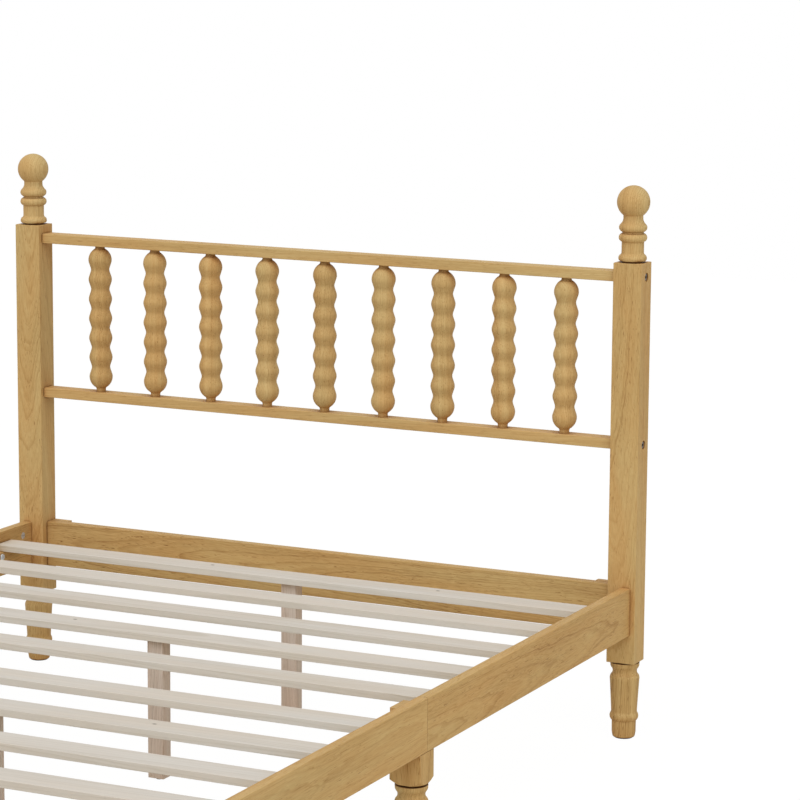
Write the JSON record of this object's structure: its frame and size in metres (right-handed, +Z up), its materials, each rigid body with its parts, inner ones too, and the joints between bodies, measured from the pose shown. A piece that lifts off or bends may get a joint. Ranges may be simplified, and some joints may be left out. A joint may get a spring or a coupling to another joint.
{
  "type": "spindle bed",
  "caption": "Double bed frame with turned feet, ball finials and a headboard of beaded spindles between two slim rails, over plain side rails and flat slats.",
  "frame": {"origin": "on the floor under the middle of the bed: midway between the outer faces of the left and right posts, and midway between the outer faces of the head and foot posts", "axes": "+Z up, +Y towards the headboard, +X to the right as seen from the foot of the bed"},
  "size_m": [1.463, 2.0171, 1.1248],
  "materials": {
    "oak": "natural oak, satin lacquer",
    "slat_wood": "bare pale softwood, planed",
    "leg_wood": "bare pale hardwood, planed",
    "dowel_wood": "beech dowel, bare",
    "bolt_steel": "zinc plated",
    "glide_plastic": "moulded, matt"
  },
  "bodies": {
    "root": {"barrel_nuts": "bolt_steel", "block_screws": "bolt_steel", "centre_leg_1": "leg_wood", "centre_leg_2": "leg_wood", "centre_leg_3": "leg_wood", "centre_leg_4": "leg_wood", "dowel_pins": "dowel_wood", "end_turned_foot_left": "oak", "end_turned_foot_right": "oak", "finial_left": "oak", "finial_right": "oak", "floor_glides": "glide_plastic", "foot_cleat_left": "oak", "foot_cleat_right": "oak", "foot_panel": "oak", "foot_post_left": "oak", "foot_post_right": "oak", "frame_bolts": "bolt_steel", "hanger_bolts": "bolt_steel", "head_cleat_left": "oak", "head_cleat_right": "oak", "head_panel": "oak", "head_post_left": "oak", "head_post_right": "oak", "head_turned_foot_left": "oak", "head_turned_foot_right": "oak", "ledger_foot_left": "oak", "ledger_foot_right": "oak", "ledger_head_left": "oak", "ledger_head_right": "oak", "lower_spindle_rail": "oak", "middle_block_left": "oak", "middle_block_right": "oak", "middle_turned_foot_left": "oak", "middle_turned_foot_right": "oak", "side_rail_foot_left": "oak", "side_rail_foot_right": "oak", "side_rail_head_left": "oak", "side_rail_head_right": "oak", "slat_01": "slat_wood", "slat_02": "slat_wood", "slat_03": "slat_wood", "slat_04": "slat_wood", "slat_05": "slat_wood", "slat_06": "slat_wood", "slat_07": "slat_wood", "slat_08": "slat_wood", "slat_09": "slat_wood", "slat_10": "slat_wood", "spindle_1": "oak", "spindle_2": "oak", "spindle_3": "oak", "spindle_4": "oak", "spindle_5": "oak", "spindle_6": "oak", "spindle_7": "oak", "spindle_8": "oak", "spindle_9": "oak", "top_spindle_rail": "oak", "wood_screws": "bolt_steel"}
  },
  "joints": []
}
